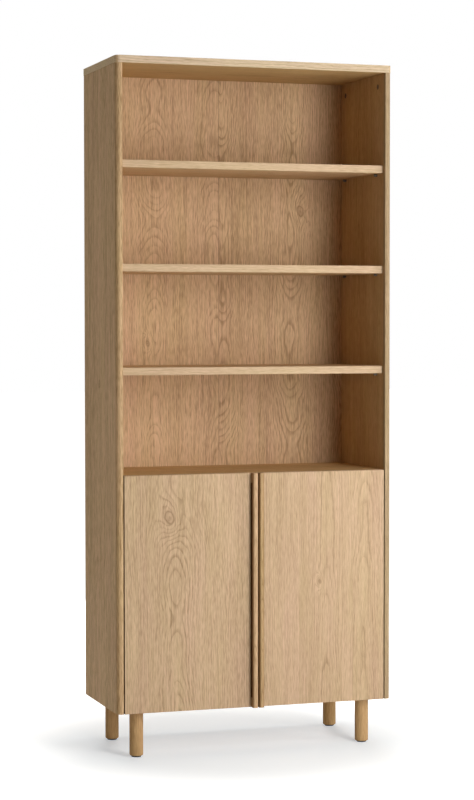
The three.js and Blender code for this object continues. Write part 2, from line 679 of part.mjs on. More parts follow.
for (const [word, side] of [['left', -1], ['right', 1]]) {
  add(`${word}_door_panel`, doorPanel(side), materials.veneer);
  add(`${word}_grip_strip`, gripStrip(side), materials.solidOak);
  const [cupPinX, cupPinY] = inPlan(side, cupPivotX, cupPivotY);
  const [armPinX, armPinY] = inPlan(side, armPivotX, armPivotY);
  for (const [i, height] of ['lower', 'upper'].entries()) {
    const z = hingeLevels[i];
    add(`${word}_${height}_door_bumper`, rod(bumperRadius, doorRearGap - seam - seam,
      [side * (gripOuter + bumperInset), doorRear + seam, deckLevels[i]], BACK, smallFacets), materials.clear);
    add(`${word}_${height}_hinge_cup`, hingeCup(side, z), materials.steel);
    add(`${word}_${height}_hinge_link`, hingeLink(side, z), materials.steel);
    add(`${word}_${height}_hinge_arm`, hingeArm(side, z), materials.steel);
    add(`${word}_${height}_hinge_plate`, mountingPlate(side, z), materials.steel);
    add(`${word}_${height}_cup_pin`, rod(pivotRadius, cupPivotLength,
      [cupPinX, cupPinY, z - cupPivotLength / 2], UP, smallFacets), materials.zinc);
    add(`${word}_${height}_arm_pin`, rod(pivotRadius, armHalfWidth + armHalfWidth,
      [armPinX, armPinY, z - armHalfWidth], UP, smallFacets), materials.zinc);
  }
}

export default bookcase;
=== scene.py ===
# Tall oak bookcase: four open bays over a cabinet with two inset doors, on four round legs.
# Metres, +Z up, doors towards -Y. The boards are put together in the order of assembly.
import math

import bmesh
import bpy
from mathutils import Matrix, Vector


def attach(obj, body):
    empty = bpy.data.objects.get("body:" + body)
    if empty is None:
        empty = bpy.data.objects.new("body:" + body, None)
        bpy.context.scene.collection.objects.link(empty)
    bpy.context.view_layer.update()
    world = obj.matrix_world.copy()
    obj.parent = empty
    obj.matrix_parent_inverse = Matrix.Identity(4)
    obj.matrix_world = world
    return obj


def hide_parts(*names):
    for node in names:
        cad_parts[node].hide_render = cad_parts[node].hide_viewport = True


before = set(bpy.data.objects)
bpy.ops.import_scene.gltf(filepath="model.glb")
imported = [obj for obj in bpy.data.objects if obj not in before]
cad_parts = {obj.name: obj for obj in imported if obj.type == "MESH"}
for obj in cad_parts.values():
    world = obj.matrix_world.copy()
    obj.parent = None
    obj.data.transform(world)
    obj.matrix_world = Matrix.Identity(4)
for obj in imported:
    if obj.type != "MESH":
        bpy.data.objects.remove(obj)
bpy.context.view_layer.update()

# Side panels: veneered boards with a large round on the outer front edge and a rebate behind
# for the back, pressed and lipped before the round is run, with two cam bores under the top.
inner_x = 0.3812
outer_x = 0.3992
front_y = -0.163
rear_y = 0.183
foot_z = 0.127
top_under = 1.888
seam = 0.0003
side_rim = 0.0006
rebate_width = 0.009
rebate_depth = 0.008
back_face = rear_y - rebate_depth + seam
cam_radius = 0.0075
cam_bore_depth = 0.0125
cam_inset = 0.034
cam_level = top_under - cam_inset
cam_rows = (front_y + 0.057, back_face - 0.032)
cam_facets = 40
bore_clearance = 0.00025
overrun = 0.002
# The edges that a board can have, each a radius and the number of facets in it.
square = (0, 0)
fine_eased = (0.0006, 2)
eased = (0.0012, 3)
corner_radius = 0.013
corner_facets = 16
large_round = (corner_radius, corner_facets)


def rounded_outline(corners):
    """Points of a closed outline from (a, b, radius, facets) corners in order round it, and
    for each point whether the side that leaves it lies on a round."""
    points = []
    count = len(corners)
    for i, (a, b, radius, facets) in enumerate(corners):
        here = Vector((a, b))
        if not radius:
            points.append((here, False))
            continue
        to_last = (Vector(corners[i - 1][:2]) - here).normalized()
        to_next = (Vector(corners[(i + 1) % count][:2]) - here).normalized()
        centre = here + (to_last + to_next) * radius
        for k in range(facets + 1):
            turn = 0.5 * math.pi * k / facets
            arm = -to_next * math.cos(turn) - to_last * math.sin(turn)
            points.append((centre + arm * radius, k < facets))
    return points


def mirrored(corners):
    """The same outline on the other side of the middle line."""
    return [(-a, b, radius, facets) for a, b, radius, facets in reversed(corners)]


def lay_along(axis, a, b, run):
    """Turns outline coordinates and a run into a point of the bookcase."""
    return {"Z": (a, b, run), "X": (run, a, b), "Y": (b, run, a)}[axis]


def add_object(name, data):
    """An object at the origin, linked to the scene."""
    piece = bpy.data.objects.new(name, data)
    bpy.context.scene.collection.objects.link(piece)
    return piece


def make_object(name, shell):
    """A mesh object at the origin from a finished bmesh."""
    mesh = bpy.data.meshes.new(name)
    shell.to_mesh(mesh)
    shell.free()
    return add_object(name, mesh)


def board(name, corners, axis, low, high, rim=0.0):
    """A board with the given outline, run along an axis, its end edges eased by rim."""
    outline = rounded_outline(corners)
    shell = bmesh.new()
    ends = []
    for run in (low, high):
        ends.append([shell.verts.new(lay_along(axis, p.x, p.y, run)) for p, _ in outline])
    count = len(outline)
    for i, (_, curved) in enumerate(outline):
        j = (i + 1) % count
        side = shell.faces.new((ends[0][i], ends[0][j], ends[1][j], ends[1][i]))
        side.smooth = curved
    caps = [shell.faces.new(ends[0]), shell.faces.new(ends[1])]
    if rim:
        edges = {edge for cap in caps for edge in cap.edges}
        made = bmesh.ops.bevel(shell, geom=list(edges), offset=rim, segments=3, profile=0.5,
                               affect="EDGES", clamp_overlap=True)
        for face in made["faces"]:
            face.smooth = True
    bmesh.ops.recalc_face_normals(shell, faces=shell.faces)
    return make_object(name, shell)


def as_plain_mesh(piece):
    """Applies every modifier, leaving one plain mesh."""
    bpy.context.view_layer.update()
    evaluated = piece.evaluated_get(bpy.context.evaluated_depsgraph_get())
    mesh = bpy.data.meshes.new_from_object(evaluated)
    piece.modifiers.clear()
    piece.data = mesh
    mesh.name = piece.name


def drill(piece, cutters):
    """Takes the cutters out of a piece and throws them away."""
    for cutter in cutters:
        step = piece.modifiers.new("Drill", "BOOLEAN")
        step.operation = "DIFFERENCE"
        step.solver = "EXACT"
        step.object = cutter
    as_plain_mesh(piece)
    for cutter in cutters:
        bpy.data.objects.remove(cutter)


def turned(name, profile, facets, place=(0, 0, 0), facing=(0, 0, 1)):
    """A turned piece from (radius, height) pairs, smooth but for its sharp rims."""
    shell = bmesh.new()
    chain = [shell.verts.new((r, 0, z)) for r, z in profile]
    line = [shell.edges.new(pair) for pair in zip(chain, chain[1:])]
    bmesh.ops.spin(shell, geom=chain + line, cent=(0, 0, 0), axis=(0, 0, 1),
                   angle=2 * math.pi, steps=facets, use_duplicate=False)
    bmesh.ops.remove_doubles(shell, verts=shell.verts, dist=1e-6)
    bmesh.ops.recalc_face_normals(shell, faces=shell.faces)
    for face in shell.faces:
        face.smooth = True
    turn = Vector(facing).to_track_quat("Z", "Y").to_matrix().to_4x4()
    bmesh.ops.transform(shell, matrix=Matrix.Translation(place) @ turn, verts=shell.verts)
    piece = make_object(name, shell)
    piece.data.set_sharp_from_angle(angle=math.radians(32))
    return piece


def bore(radius, depth, facets, mouth, facing=(0, 0, 1)):
    """A cutter for a round bore, a little wider than its fitting, that goes into a board by
    depth from the middle of its mouth."""
    wide = radius + bore_clearance
    long = depth + overrun
    start = [at - overrun * way for at, way in zip(mouth, facing)]
    return turned("bore", [(0, 0), (wide, 0), (wide, long), (0, long)], facets, start, facing)


def wire(tree, kind, *sources, **settings):
    """Adds a shader node, feeds its inputs in order and returns its first output."""
    node = tree.nodes.new(kind)
    for setting, value in settings.items():
        setattr(node, setting, value)
    for socket, source in zip(node.inputs, sources):
        if isinstance(source, bpy.types.NodeSocket):
            tree.links.new(source, socket)
        elif source is not None:
            socket.default_value = source
    return node.outputs[0]


def calc(tree, operation, first, *others):
    """An operation on one source, or carried from the first through the others."""
    if not others:
        return wire(tree, "ShaderNodeMath", first, operation=operation)
    for other in others:
        first = wire(tree, "ShaderNodeMath", first, other, operation=operation)
    return first


def sum_of_squares(tree, one, other):
    """The square of how far two distances at right angles reach together."""
    return calc(tree, "ADD", calc(tree, "MULTIPLY", one, one), calc(tree, "MULTIPLY", other, other))


def ramp(tree, value, low, high, start, end):
    """Goes softly from start to end while the value goes from low to high."""
    return wire(tree, "ShaderNodeMapRange", value, low, high, start, end,
                interpolation_type="SMOOTHSTEP")


def ramp_linear(tree, value, low, high, start, end, clamp=False):
    """Goes evenly from start to end, and on past them unless it is clamped."""
    return wire(tree, "ShaderNodeMapRange", value, low, high, start, end, clamp=clamp)


def split(tree, vector):
    """The three parts of a vector."""
    return wire(tree, "ShaderNodeSeparateXYZ", vector).node.outputs


def shifted(tree, place, shift):
    """A place moved by a shift."""
    return wire(tree, "ShaderNodeVectorMath", place, shift, operation="ADD")


def noise_at(tree, place, stretch, detail, roughness=0.5):
    """Noise between about -1 and 1, stretched by a count of grains per metre each way."""
    scaled = wire(tree, "ShaderNodeVectorMath", place, stretch, operation="MULTIPLY")
    node = tree.nodes.new("ShaderNodeTexNoise")
    tree.links.new(scaled, node.inputs["Vector"])
    node.inputs["Scale"].default_value = 1.0
    node.inputs["Detail"].default_value = detail
    node.inputs["Roughness"].default_value = roughness
    return ramp_linear(tree, node.outputs[0], 0.2, 0.8, -1.0, 1.0)


def blend(tree, share, colour, other, kind="MIX"):
    """A colour mixed with another one, or multiplied by it, as far as share goes."""
    colours = [c if isinstance(c, bpy.types.NodeSocket) else (*c, 1) for c in (colour, other)]
    return wire(tree, "ShaderNodeMixRGB", share, *colours, blend_type=kind)


def new_group(name, vectors, numbers, results):
    """An empty shader group with named sockets, and its two end nodes."""
    tree = bpy.data.node_groups.new(name, "ShaderNodeTree")
    for labels, way, kind in ((vectors, "INPUT", "Vector"), (numbers, "INPUT", "Float"),
                              (results, "OUTPUT", "Float")):
        for label in labels:
            tree.interface.new_socket(label, in_out=way, socket_type=f"NodeSocket{kind}")
    return tree, tree.nodes.new("NodeGroupInput").outputs, tree.nodes.new("NodeGroupOutput").inputs


def close_group(tree, result, **sources):
    """Feeds a group's named outputs."""
    for label, source in sources.items():
        tree.links.new(source, result[label])
    return tree


def use_group(tree, group, place, **values):
    """A group's node at work on a place, with its named inputs set."""
    node = tree.nodes.new("ShaderNodeGroup")
    node.node_tree = group
    tree.links.new(place, node.inputs["Place"])
    for label, value in values.items():
        node.inputs[label].default_value = value
    return node


def make_knot_group():
    """A knot: how far it pushes the growth rings, how far the fibres part round it, and how
    dark its heart is. Place runs across the grain, through the board and along the grain."""
    tree, given, result = new_group("oak_knot", ("Place",), ("Across", "Along", "Size"),
                                    ("Push", "Part", "Heart"))
    parts = split(tree, given["Place"])
    offset = calc(tree, "SUBTRACT", parts[0], given["Across"])
    along = calc(tree, "DIVIDE", calc(tree, "SUBTRACT", parts[2], given["Along"]), given["Size"])
    lean = calc(tree, "MULTIPLY", along, 0.14)
    wobble = calc(tree, "MULTIPLY", noise_at(tree, given["Place"], (60, 60, 34), 2), 0.3)
    across = calc(tree, "ADD", calc(tree, "DIVIDE", offset, given["Size"]), lean, wobble)

    def bell(wide, tall):
        """One at the knot, falling to nothing some sizes away."""
        squares = sum_of_squares(tree, calc(tree, "MULTIPLY", across, 1 / wide),
                                 calc(tree, "MULTIPLY", along, 1 / tall))
        return calc(tree, "EXPONENT", calc(tree, "MULTIPLY", squares, -1.0))

    near = calc(tree, "SQRT", sum_of_squares(tree, across, calc(tree, "MULTIPLY", along, 0.62)))
    bark = calc(tree, "MULTIPLY", ramp(tree, near, 0.6, 0.9, 0.0, 1.0),
                ramp(tree, near, 0.9, 1.25, 1.0, 0.0))
    pith = ramp(tree, near, 0.1, 0.5, 0.9, 0.0)
    wood = ramp(tree, near, 0.7, 1.7, 0.42, 0.0)
    return close_group(tree, result, Push=calc(tree, "MULTIPLY", bell(2.6, 5.2), 4.6),
                       Part=calc(tree, "MULTIPLY", offset, bell(2.2, 5.0), -0.9),
                       Heart=calc(tree, "MAXIMUM", bark, pith, wood))


def make_figure_group():
    """The figure of flat-sliced oak laid in leaves: slow tone, streaks, growth rings that arch
    where a leaf runs near the heart, fine fibre and short dark pores."""
    tree, given, result = new_group(
        "oak_figure", ("Place", "Sample"),
        ("Middle", "Leaf", "Stray", "Depth", "Taper", "Sway", "Ring", "Push", "Part"),
        ("Tone", "Rings", "Pores", "Warmth", "Height"))
    parts = split(tree, given["Place"])
    from_middle = calc(tree, "SUBTRACT", parts[0], given["Middle"])
    # Each leaf beside the middle one has its heart somewhere else, and its own wood.
    leaf = calc(tree, "ROUND", calc(tree, "DIVIDE", from_middle, given["Leaf"]))
    draw = calc(tree, "ADD", leaf, calc(tree, "MULTIPLY", given["Middle"], 97))
    drawn = wire(tree, "ShaderNodeTexWhiteNoise", None, draw, noise_dimensions="1D")
    own = split(tree, drawn.node.outputs["Color"])
    beside = calc(tree, "MINIMUM", calc(tree, "ABSOLUTE", leaf), 1.0)
    astray = calc(tree, "MULTIPLY", ramp_linear(tree, own[0], 0.0, 1.0, 0.4, 1.0), given["Stray"], beside)
    moved = wire(tree, "ShaderNodeCombineXYZ", 0.0, calc(tree, "MULTIPLY", leaf, 0.37),
                 calc(tree, "MULTIPLY", leaf, 1.9))
    place = shifted(tree, shifted(tree, given["Place"], given["Sample"]), moved)
    # The growth rings lie round the heart, which wanders, sways and slopes along the board.
    wander = calc(tree, "MULTIPLY", noise_at(tree, place, (7, 7, 1.8), 2), 0.01)
    ripple = calc(tree, "MULTIPLY", noise_at(tree, place, (44, 44, 13), 3, 0.6), 0.0045)
    offset = calc(tree, "SUBTRACT", from_middle, calc(tree, "MULTIPLY", leaf, given["Leaf"]))
    offset = calc(tree, "ADD", offset, astray, wander)
    slope = calc(tree, "MULTIPLY", parts[2], given["Taper"])
    sway = calc(tree, "MULTIPLY", noise_at(tree, place, (2.5, 2.5, 4.5), 1), given["Sway"])
    depth = calc(tree, "ADD", given["Depth"], slope, sway, parts[1])
    reach = calc(tree, "SQRT", sum_of_squares(tree, calc(tree, "ADD", offset, ripple), depth))
    count = calc(tree, "ADD", calc(tree, "DIVIDE", reach, given["Ring"]), given["Push"])
    phase = calc(tree, "FRACT", count)
    year = calc(tree, "FLOOR", count)
    strength = wire(tree, "ShaderNodeTexWhiteNoise", None, year, noise_dimensions="1D")
    strength = ramp_linear(tree, strength, 0.0, 1.0, 0.25, 1.0)
    early = calc(tree, "MAXIMUM", ramp(tree, phase, 0.0, 0.42, 1.0, 0.0),
                 ramp(tree, phase, 0.88, 1.0, 0.0, 1.0))
    # The fibres follow the rings' wander and part round a knot.
    aside = wire(tree, "ShaderNodeCombineXYZ", calc(tree, "ADD", wander, given["Part"]), 0.0, 0.0)
    flow = shifted(tree, place, aside)
    fibre = noise_at(tree, flow, (400, 400, 4.5), 2, 0.6)
    fleck = noise_at(tree, flow, (600, 600, 45), 1)
    streak = noise_at(tree, flow, (125, 125, 3.5), 2)
    band = noise_at(tree, flow, (34, 34, 1.1), 2)
    slow = noise_at(tree, place, (6, 6, 1.3), 2)
    # Arches show best near the heart and fade into plain streaks beside it.
    arch_reach = 0.036
    spread = calc(tree, "POWER", calc(tree, "DIVIDE", offset, arch_reach), 2.0)
    plain = ramp(tree, spread, 0.2, 2.4, 1.0, 0.6)
    broken = ramp_linear(tree, calc(tree, "ADD", fibre, streak), -1.0, 1.0, 1.3, 0.5)
    rings = calc(tree, "MULTIPLY", early, strength, plain, broken)
    tone = calc(tree, "MULTIPLY", calc(tree, "SUBTRACT", own[1], 0.5), 0.14)
    for layer, share in ((slow, 0.28), (band, 0.22), (streak, 0.1), (fibre, 0.85), (fleck, 0.9)):
        tone = calc(tree, "ADD", tone, calc(tree, "MULTIPLY", layer, share))
    # Pores crowd where the early wood of a ring shows.
    open_grain = noise_at(tree, flow, (1500, 1500, 62), 2, 0.6)
    gate = ramp_linear(tree, rings, 0.0, 1.0, 0.5, 0.05)
    pores = ramp(tree, calc(tree, "SUBTRACT", open_grain, gate), 0.0, 0.4, 0.0, 1.0)
    return close_group(tree, result, Tone=tone, Rings=rings, Pores=pores,
                       Warmth=noise_at(tree, flow, (19, 15, 2.6), 3, 0.6),
                       Height=calc(tree, "SUBTRACT", calc(tree, "MULTIPLY", fibre, 0.25), pores))


def new_material(name):
    """A material, its tree, and the place on the piece that its patterns read."""
    material = bpy.data.materials.new(name)
    material.use_nodes = True
    place = wire(material.node_tree, "ShaderNodeTexCoord").node.outputs["Object"]
    return material, material.node_tree, place


def finish_surface(tree, colour, roughness, relief, strength, depth):
    """Feeds a material's shader and returns it. The relief stands out by up to depth."""
    shader = tree.nodes["Principled BSDF"]
    tree.links.new(colour, shader.inputs["Base Color"])
    tree.links.new(roughness, shader.inputs["Roughness"])
    bump = tree.nodes.new("ShaderNodeBump")
    bump.inputs["Strength"].default_value = strength
    bump.inputs["Distance"].default_value = depth
    tree.links.new(relief, bump.inputs["Height"])
    tree.links.new(bump.outputs["Normal"], shader.inputs["Normal"])
    return shader


knot_group = make_knot_group()
figure_group = make_figure_group()
grain_orders = {"up, facing front": (0, 1, 2), "up, facing aside": (1, 0, 2),
                "across, facing up": (1, 2, 0)}


def deepened(colour, shares):
    """A colour with each part taken down to its share."""
    return [share * part for share, part in zip(shares, colour)]


def oak(name, grain, sample, pale, dark, middle=0.0, leaf=5.0, stray=0.0, depth=0.03, taper=0.05,
        sway=0.008, ring=0.0065, knot=None, figure=1.0, arches=0.5, lipping=None, side_painted_shading=None,
        underside_painted_shade=None, turned_from=0.55, groove_painted_shade=None):
    """Matt lacquered oak, cut at sample, pale and dark at its lightest and darkest. The rings
    arch round middle, and the hearts of the leaves beside it lie off by up to stray. knot is
    (across, along, size), lipping is (rear edge, tint). Faces that look left or right, and those
    that look down, take the tints given for them as painted light and shade, where they are
    turned that way by more than turned_from. The groove's tint is painted shade, darker inside
    a groove from its low corner to its high corner, measured out from the middle line."""
    material, tree, object_place = new_material(name)
    parts = split(tree, object_place)
    place = wire(tree, "ShaderNodeCombineXYZ", *(parts[i] for i in grain_orders[grain]))
    wood = use_group(tree, figure_group, place, Sample=sample, Middle=middle, Leaf=leaf, Stray=stray,
                     Depth=depth, Taper=taper, Sway=sway, Ring=ring)
    plain_shade = 0.34
    shade = ramp_linear(tree, wood.outputs["Tone"], -1.0, 1.0, plain_shade + 0.5 * figure,
                        plain_shade - 0.5 * figure)
    shade = calc(tree, "ADD", shade, calc(tree, "MULTIPLY", wood.outputs["Rings"], arches))
    warmth = ramp_linear(tree, wood.outputs["Warmth"], -1.0, 1.0, 0.0, 1.0)
    cast = blend(tree, warmth, (0.985, 1.01, 0.930), (1.03, 0.982, 1.04))
    colour = blend(tree, 1.0, blend(tree, shade, pale, dark), cast, "MULTIPLY")
    if lipping:
        rear_edge, tint = lipping
        glue_line = 0.0004
        lipped = ramp_linear(tree, parts[1], rear_edge, rear_edge + glue_line, 1.0, 0.0, clamp=True)
        colour = blend(tree, lipped, colour, tint, "MULTIPLY")
    facing = split(tree, object_place.node.outputs["Normal"])
    # Painted light and shade: faces turned left or right, or down, are tinted lighter or darker for how
    # the light falls on them.
    for tint, amount in ((side_painted_shading, calc(tree, "ABSOLUTE", facing[0])),
                         (underside_painted_shade, calc(tree, "MULTIPLY", facing[2], -1.0))):
        if tint:
            share = ramp(tree, amount, turned_from, turned_from + 0.4, 0.0, 1.0)
            colour = blend(tree, share, colour, tint, "MULTIPLY")
    # Painted shade: the inside of a groove is tinted darker, where shade falls.
    if groove_painted_shade:
        lows, highs, tint = groove_painted_shade
        fade = 0.0015
        within = 1.0
        for along, low, high in zip((calc(tree, "ABSOLUTE", parts[0]), parts[1], parts[2]), lows, highs):
            within = calc(tree, "MULTIPLY", within, ramp(tree, along, low - fade, low, 0.0, 1.0),
                          ramp(tree, along, high, high + fade, 1.0, 0.0))
        colour = blend(tree, within, colour, tint, "MULTIPLY")
    pore_share = calc(tree, "MULTIPLY", wood.outputs["Pores"], 0.4)
    colour = blend(tree, pore_share, colour, deepened(dark, (0.6, 0.54, 0.46)))
    if knot:
        across, along, size = knot
        heart = use_group(tree, knot_group, place, Across=across, Along=along, Size=size)
        for label in ("Push", "Part"):
            tree.links.new(heart.outputs[label], wood.inputs[label])
        heart_share = calc(tree, "MULTIPLY", heart.outputs["Heart"], 0.62)
        colour = blend(tree, heart_share, colour, deepened(dark, (0.62, 0.54, 0.46)))
    rough = ramp_linear(tree, wood.outputs["Height"], -1.0, 0.3, 0.7, 0.56)
    shader = finish_surface(tree, colour, rough, wood.outputs["Height"], 0.35, 0.00016)
    shader.inputs["Specular IOR Level"].default_value = 0.06
    return material


def paint(piece, material):
    """Makes a material the only one of a piece."""
    piece.data.materials.clear()
    piece.data.materials.append(material)


def dress(piece, material, body, slot, *nodes):
    """Gives a piece its material, the body it moves with and the CAD nodes it stands for."""
    paint(piece, material)
    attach(piece, body)
    if nodes:
        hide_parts(*nodes)


veneer_pale = (0.72, 0.515, 0.31)
veneer_dark = (0.385, 0.25, 0.125)
lipping_rear = front_y + 0.014
board_middle = 0.39
side_looks = {
    "left": dict(pale=veneer_pale, dark=veneer_dark, knot=(0.02, 1.02, 0.007), figure=1.5,
                 lipping=(lipping_rear, (0.9, 0.88, 0.84))),
    # Painted shade: the right panel's pale and dark are taken darker than the left's, for its inner face
    # that lies in shadow.
    "right": dict(pale=(0.62, 0.433, 0.236), dark=(0.331, 0.21, 0.095), figure=0.8,
                  lipping=(lipping_rear, (0.74, 0.8, 0.9)))}
for word, side in (("left", -1), ("right", 1)):
    outline = [(inner_x, front_y, *eased), (outer_x, front_y, *large_round), (outer_x, rear_y, *eased),
               (inner_x + rebate_width, rear_y, *square),
               (inner_x + rebate_width, rear_y - rebate_depth, *square),
               (inner_x, rear_y - rebate_depth, *square)]
    if side < 0:
        outline = mirrored(outline)
    panel = board(f"{word}_side", outline, "Z", foot_z, top_under - seam, side_rim)
    mouths = [(side * inner_x, y, cam_level) for y in cam_rows]
    drill(panel, [bore(cam_radius, cam_bore_depth, cam_facets, mouth, (side, 0, 0)) for mouth in mouths])
    side_oak = oak(f"oak_{word}_side", "up, facing aside", (side * 3.1, 5.7, 2.3), middle=0.03 * side,
                   leaf=0.19, stray=0.07, depth=-side * board_middle - 0.02, taper=0.035, arches=0.3,
                   **side_looks[word])
    dress(panel, side_oak, "carcass", "oak_veneer", f"{word}_side_panel")

# Top panel: one veneered board that lies over both sides, grain across, its front corners
# rounded to follow theirs and its edges lipped and eased.
top_x = 0.4
top_z = 1.908
top_proud = 0.0008
top_front = front_y - top_proud
top_round = (corner_radius + top_proud, corner_facets)
top_rim = 0.0009
thin_lipping = 0.002
rebate_x = inner_x + rebate_width
rebate_overrun = 0.01


def rectangle(low_a, low_b, high_a, high_b):
    """An outline with four square corners."""
    return [(low_a, low_b, *square), (high_a, low_b, *square), (high_a, high_b, *square),
            (low_a, high_b, *square)]


top = board("top", [(-top_x, top_front, *top_round), (top_x, top_front, *top_round),
                    (top_x, rear_y, *eased), (-top_x, rear_y, *eased)], "Z", top_under, top_z, top_rim)
rebate = board("rebate", rectangle(-rebate_x, rear_y - rebate_depth, rebate_x, rear_y + rebate_overrun),
               "Z", top_under - rebate_overrun, top_under + rebate_width)
drill(top, [rebate])
# Painted light and shade: the board's ends are tinted lighter and paler, and its underside darker and
# warmer, for how the light falls on them.
top_oak = oak("oak_top", "across, facing up", (1.7, 8.1, 4.4), veneer_pale, veneer_dark,
              middle=0.02, leaf=0.18, stray=0.05, depth=-top_z - 0.022, taper=0.03, figure=0.6,
              arches=0.35, lipping=(top_front + thin_lipping, (1.02, 1.15, 1.38)),
              side_painted_shading=(1.18, 1.36, 1.58), underside_painted_shade=(0.86, 0.81, 0.62))
dress(top, top_oak, "carcass", "oak_veneer", "top_panel")

# Bottom panel and fixed shelf: veneered boards between the sides, drawn up by cams from below.
# The bores for the cams show in their undersides.
deck_top = 0.776
deck_thickness = 0.018
deck_front = front_y + 0.020
deck_rear = back_face - seam
deck_x = inner_x - seam
cam_x = inner_x - cam_inset
# Painted shade: the decks' veneer is coloured darker and warmer than the rest, for the deck top that lies
# in shade inside the case.
deck_pale_painted_shade = (0.66, 0.437, 0.212)
deck_dark_painted_shade = (0.355, 0.213, 0.086)
for name, under, node, sample in (
        ("bottom", foot_z, "bottom_panel", (6.3, 1.1, 9.2)),
        ("fixed_deck", deck_top - deck_thickness, "fixed_shelf", (2.9, 7.4, 5.1))):
    over = under + deck_thickness
    deck = board(name, [(deck_front, under, *fine_eased), (deck_rear, under, *square),
                        (deck_rear, over, *square), (deck_front, over, *fine_eased)], "X", -deck_x, deck_x)
    drill(deck, [bore(cam_radius, cam_bore_depth, cam_facets, (side * cam_x, y, under))
                 for side in (-1, 1) for y in cam_rows])
    deck_oak = oak(f"oak_{name}", "across, facing up", sample, deck_pale_painted_shade, deck_dark_painted_shade, middle=0.03,
                   leaf=0.18, stray=0.05, depth=-under - 0.03, taper=0.04)
    dress(deck, deck_oak, "carcass", "oak_veneer", node)

# Back: two thin boards veneered on both faces, laid in the rebate from behind and met on the
# middle line, where their eased edges make a fine groove, darkened inside by painted shade.
# Each is cut through a knot.
back_thickness = 0.005
back_joint = 0.00003
back_eased = (0.0004, 2)
back_rim = 0.0009
back_x = rebate_x - seam
back_top = top_under + rebate_width - seam
back_looks = {
    "left": dict(middle=-0.195, depth=-back_face, knot=(-0.215, 1.13, 0.005), arches=0.5),
    "right": dict(middle=0.222, depth=-back_face + 0.09, knot=(0.252, 1.516, 0.010), arches=0.8)}
for word, side in (("left", -1), ("right", 1)):
    low_x, high_x = (back_joint, back_x) if side > 0 else (-back_x, -back_joint)
    # The outline is in height and width, so it runs along Y.
    back = board(f"{word}_back", [(foot_z, low_x, *back_eased), (back_top, low_x, *back_eased),
                                  (back_top, high_x, *back_eased), (foot_z, high_x, *back_eased)],
                 "Y", back_face, back_face + back_thickness, back_rim)
    # Painted shade: the faces that look left or right, the edges in the middle groove, are tinted dark.
    back_oak = oak(f"oak_{word}_back", "up, facing front", (side * 4.4, 2.6, 7.9), (0.70, 0.482, 0.295),
                   (0.375, 0.24, 0.13), leaf=0.2, stray=0.02, taper=-0.037 * side, sway=0.02, ring=0.005,
                   figure=1.15, side_painted_shading=(0.2, 0.16, 0.13), turned_from=0.1, **back_looks[word])
    dress(back, back_oak, "carcass", "oak_back_veneer", f"{word}_back_panel")

# Shelf pins: sixteen turned steel pins, zinc plated and eased at the inner end, pushed into the
# sides, four under each loose shelf.
shelf_thickness = 0.021
shelf_tops = (1.068, 1.349, 1.630, 0.445)
pin_radius = 0.0035
pin_reach = 0.009
pin_root = 0.0015
pin_nose = ((0, 0.0008), (0.0003, 0.0002), (0.0009, 0))
pin_rows = (front_y + 0.062, rear_y - 0.044)


def copies_tree(name, sizes):
    """A tree with named sizes that ends in Realize Instances and Set Material. Returns the
    tree, its input sockets, and a function that takes the points and closes it."""
    tree = bpy.data.node_groups.new(name, "GeometryNodeTree")
    tree.interface.new_socket("Geometry", in_out="OUTPUT", socket_type="NodeSocketGeometry")
    for label, kind in (*sizes, ("Fitting", "Object"), ("Finish", "Material")):
        tree.interface.new_socket(label, in_out="INPUT", socket_type=f"NodeSocket{kind}")
    given = tree.nodes.new("NodeGroupInput").outputs
    fitting = tree.nodes.new("GeometryNodeObjectInfo")
    fitting.transform_space = "RELATIVE"
    tree.links.new(given["Fitting"], fitting.inputs["Object"])

    def close(points, rotation=None):
        """Sets the fitting on the points and makes the copies one mesh in its finish."""
        copies = tree.nodes.new("GeometryNodeInstanceOnPoints")
        tree.links.new(points, copies.inputs["Points"])
        tree.links.new(fitting.outputs["Geometry"], copies.inputs["Instance"])
        if rotation:
            tree.links.new(rotation, copies.inputs["Rotation"])
        real = tree.nodes.new("GeometryNodeRealizeInstances")
        tree.links.new(copies.outputs[0], real.inputs[0])
        finish = tree.nodes.new("GeometryNodeSetMaterial")
        tree.links.new(real.outputs[0], finish.inputs["Geometry"])
        tree.links.new(given["Finish"], finish.inputs["Material"])
        out = tree.nodes.new("NodeGroupOutput")
        tree.links.new(finish.outputs[0], out.inputs[0])

    return tree, given, close


def grow(name, mesh, tree, fitting, material, **sizes):
    """A plain mesh of the copies that a tree makes of a fitting, which is used up. The tree's
    named inputs are set by their identifiers."""
    piece = add_object(name, mesh)
    step = piece.modifiers.new(tree.name, "NODES")
    step.node_group = tree
    values = {"Fitting": fitting, "Finish": material, **sizes}
    for item in tree.interface.items_tree:
        if item.item_type == "SOCKET" and item.in_out == "INPUT" and item.name in values:
            step[item.identifier] = values[item.name]
    as_plain_mesh(piece)
    bpy.data.objects.remove(fitting)
    return piece


def make_places_tree():
    """Copies of a fitting on the points of a mesh, each turned by the point's own angles."""
    tree, given, close = copies_tree("fittings_in_places", [("Geometry", "Geometry")])
    turn = tree.nodes.new("GeometryNodeInputNamedAttribute")
    turn.data_type = "FLOAT_VECTOR"
    turn.inputs["Name"].default_value = "turn"
    rotation = tree.nodes.new("FunctionNodeEulerToRotation")
    tree.links.new(turn.outputs["Attribute"], rotation.inputs[0])
    close(given["Geometry"], rotation.outputs[0])
    return tree


places_tree = make_places_tree()


def fittings(name, fitting, places, material):
    """A plain mesh of copies of a fitting at (place, turn in degrees) pairs."""
    mesh = bpy.data.meshes.new(name)
    mesh.from_pydata([place for place, _ in places], [], [])
    turns = mesh.attributes.new("turn", "FLOAT_VECTOR", "POINT")
    for point, (_, turn) in zip(turns.data, places):
        point.vector = [math.radians(angle) for angle in turn]
    return grow(name, mesh, places_tree, fitting, material)


